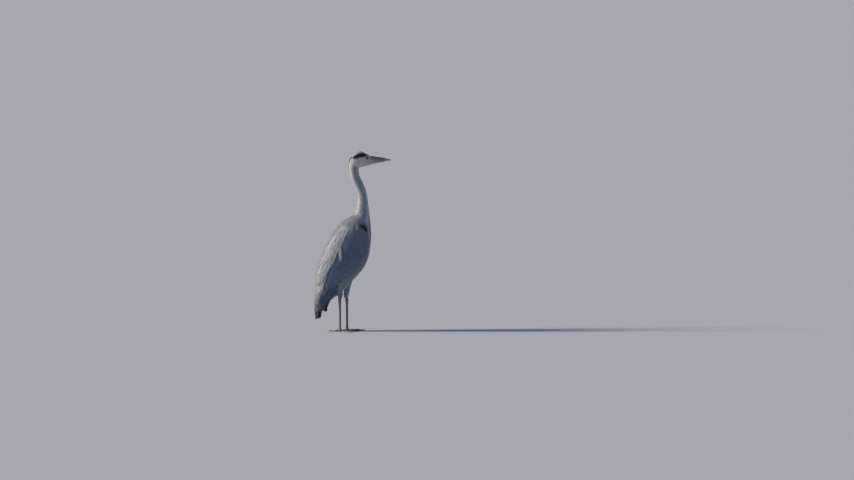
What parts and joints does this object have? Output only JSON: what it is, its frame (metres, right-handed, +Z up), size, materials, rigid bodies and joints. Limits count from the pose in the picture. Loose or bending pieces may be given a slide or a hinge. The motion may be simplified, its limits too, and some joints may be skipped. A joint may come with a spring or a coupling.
{
  "type": "grey heron model",
  "caption": "Life-size still model of a grey heron standing upright in profile, with its neck raised, bill level, wings folded and both feet flat on the ground.",
  "frame": {"origin": "middle of the bird's box, on the level of its soles", "axes": "+X the way the bill points, +Y the bird's left side, +Z up"},
  "size_m": [0.3854, 0.1694, 0.9014],
  "materials": {
    "belly": "soft whitish feathers",
    "neck": "soft pale grey feathers",
    "crown": "short white feathers",
    "crest": "glossy black plumes",
    "eye": "wet, glossy",
    "bill": "satin horn",
    "back": "ash-grey feathers",
    "plume": "silvery plumes",
    "flight": "slate-black flight feathers",
    "leg": "scaly skin",
    "claw": "dark horn"
  },
  "bodies": {
    "root": {"bill_lower": "bill", "bill_upper": "bill", "breast_plumes": "belly", "claw_hind_left": "claw", "claw_hind_right": "claw", "claw_inner_left": "claw", "claw_inner_right": "claw", "claw_middle_left": "claw", "claw_middle_right": "claw", "claw_outer_left": "claw", "claw_outer_right": "claw", "crest_left": "crest", "crest_right": "crest", "eye_left": "eye", "eye_right": "eye", "flight_feathers_left": "flight", "flight_feathers_right": "flight", "foot_pad_left": "leg", "foot_pad_right": "leg", "head": "crown", "neck_lower": "neck", "neck_middle": "neck", "neck_upper": "neck", "shoulder_plumes_left": "plume", "shoulder_plumes_right": "plume", "tail": "back", "tarsus_left": "leg", "tarsus_right": "leg", "thigh_left": "belly", "thigh_right": "belly", "tibia_left": "leg", "tibia_right": "leg", "toe_hind_left": "leg", "toe_hind_right": "leg", "toe_inner_left": "leg", "toe_inner_right": "leg", "toe_middle_left": "leg", "toe_middle_right": "leg", "toe_outer_left": "leg", "toe_outer_right": "leg", "trunk": "belly", "wing_left": "back", "wing_right": "back"}
  },
  "joints": []
}
